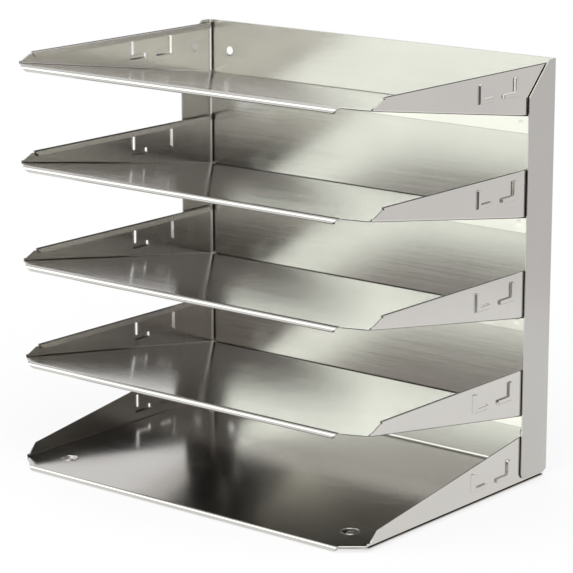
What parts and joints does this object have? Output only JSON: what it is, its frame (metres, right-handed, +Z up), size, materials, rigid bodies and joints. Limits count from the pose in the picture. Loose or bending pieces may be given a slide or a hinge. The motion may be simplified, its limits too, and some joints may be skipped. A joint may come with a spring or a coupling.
{
  "type": "desktop file sorter",
  "caption": "Sheet-steel desktop sorter: sloping letter trays stacked above a level base tray in an open-fronted back frame, on rubber feet.",
  "frame": {"origin": "on the desk, under the middle of the sorter's bounding box", "axes": "+Z up, +X across the sorter to the right as seen from the front, +Y to the rear; the open front faces -Y"},
  "size_m": [0.324, 0.229, 0.31],
  "materials": {
    "frame_steel": "polished stainless sheet with a faint grain",
    "tray_steel": "mirror-polished stainless sheet",
    "rivet_steel": "bright rivet",
    "foot_rubber": "matt black"
  },
  "bodies": {
    "root": {"back_frame": "frame_steel", "tray_1": "tray_steel", "tray_2": "tray_steel", "tray_3": "tray_steel", "tray_4": "tray_steel", "base_tray": "tray_steel", "foot_front_left": "foot_rubber", "foot_front_right": "foot_rubber", "foot_rear_left": "foot_rubber", "foot_rear_right": "foot_rubber", "foot_rivet_front_left": "rivet_steel", "foot_rivet_front_right": "rivet_steel", "foot_rivet_rear_left": "rivet_steel", "foot_rivet_rear_right": "rivet_steel"}
  },
  "joints": []
}
